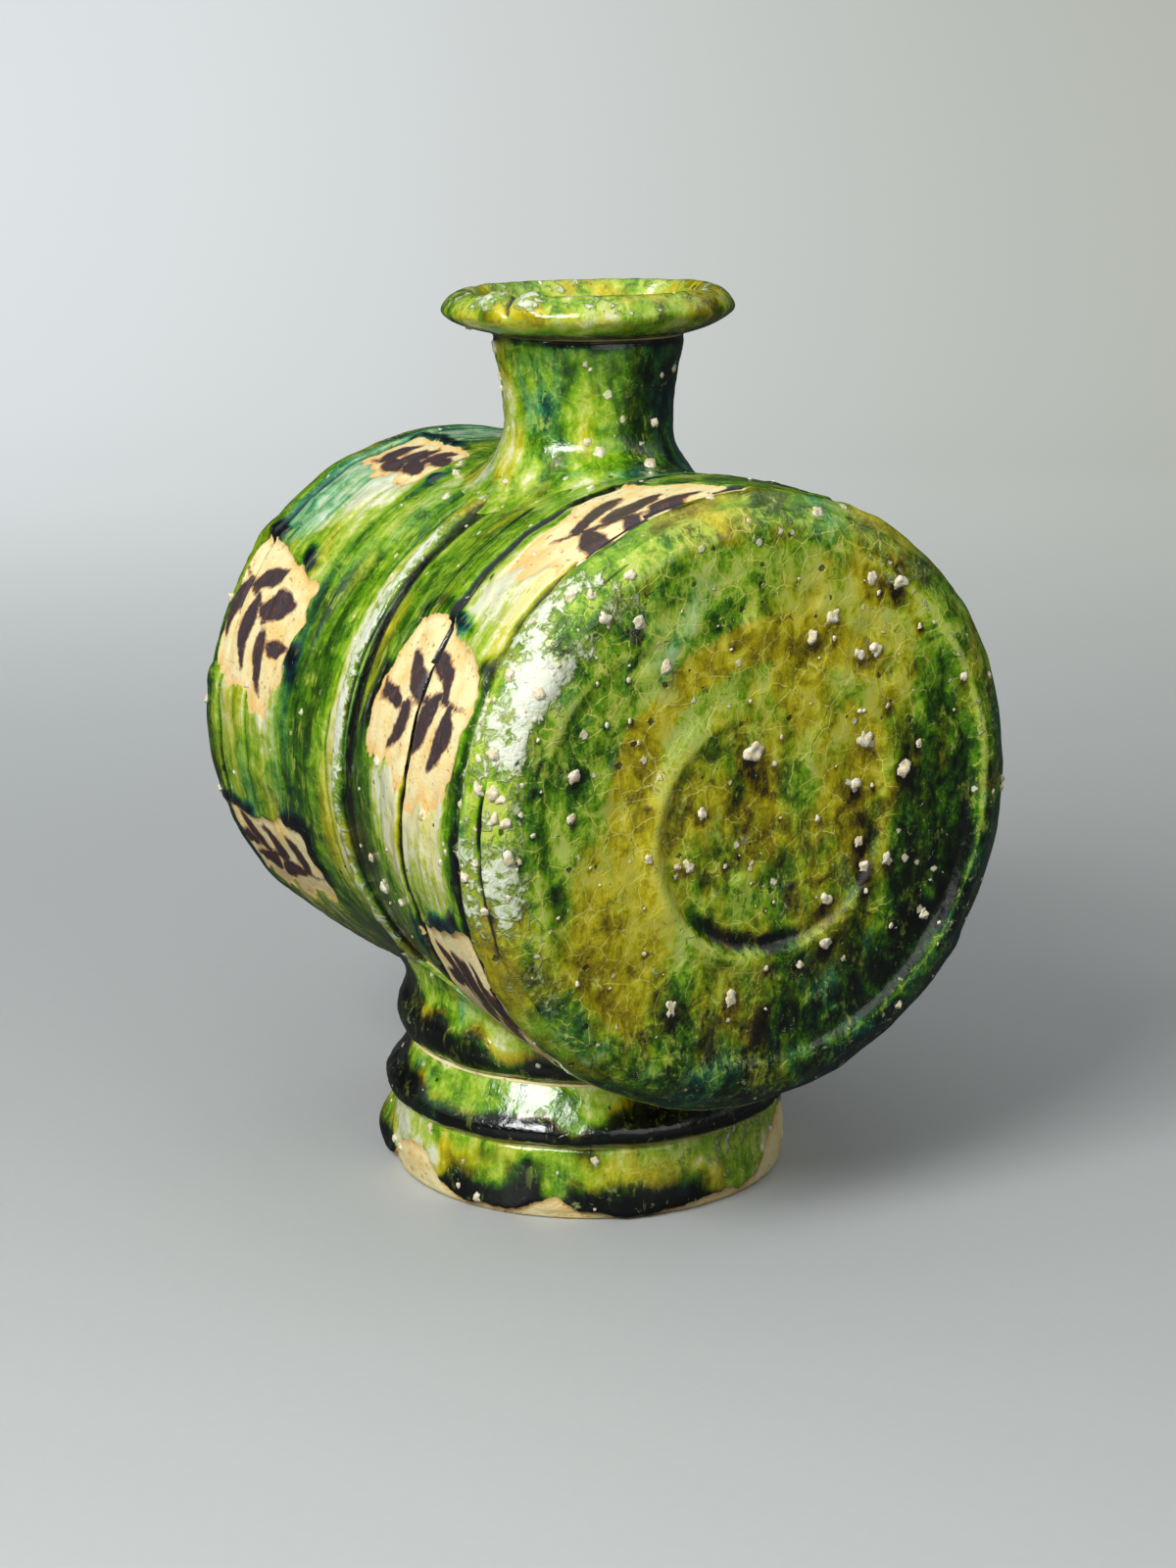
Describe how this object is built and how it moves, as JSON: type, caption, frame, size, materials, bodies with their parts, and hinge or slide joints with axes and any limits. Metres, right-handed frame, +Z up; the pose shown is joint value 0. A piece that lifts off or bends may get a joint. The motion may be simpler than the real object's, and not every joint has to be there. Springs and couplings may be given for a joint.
{
  "type": "ceramic vase",
  "caption": "Green-glazed earthenware vase shaped as a drum lying on its side, with flat spiral ends, a short flared neck with rolled lip and a stepped hollow foot.",
  "frame": {"origin": "centre of the foot ring's underside, on the surface that the vase stands on", "axes": "+Z up along the neck, X along the drum's axis with the pictured end disc at +X, Y across the drum"},
  "size_m": [0.1522, 0.132, 0.2],
  "materials": {
    "green_glaze": "glossy crazed green lead glaze over cream slip",
    "foot_clay": "bare cream clay with green glaze run down over it"
  },
  "bodies": {
    "root": {"foot_ring": "foot_clay", "pedestal": "green_glaze", "foot_collar": "green_glaze", "drum_half_right": "green_glaze", "drum_half_left": "green_glaze", "girth_coil": "green_glaze", "end_disc_right": "green_glaze", "end_disc_left": "green_glaze", "neck": "green_glaze", "lip_ring": "green_glaze"}
  },
  "joints": []
}
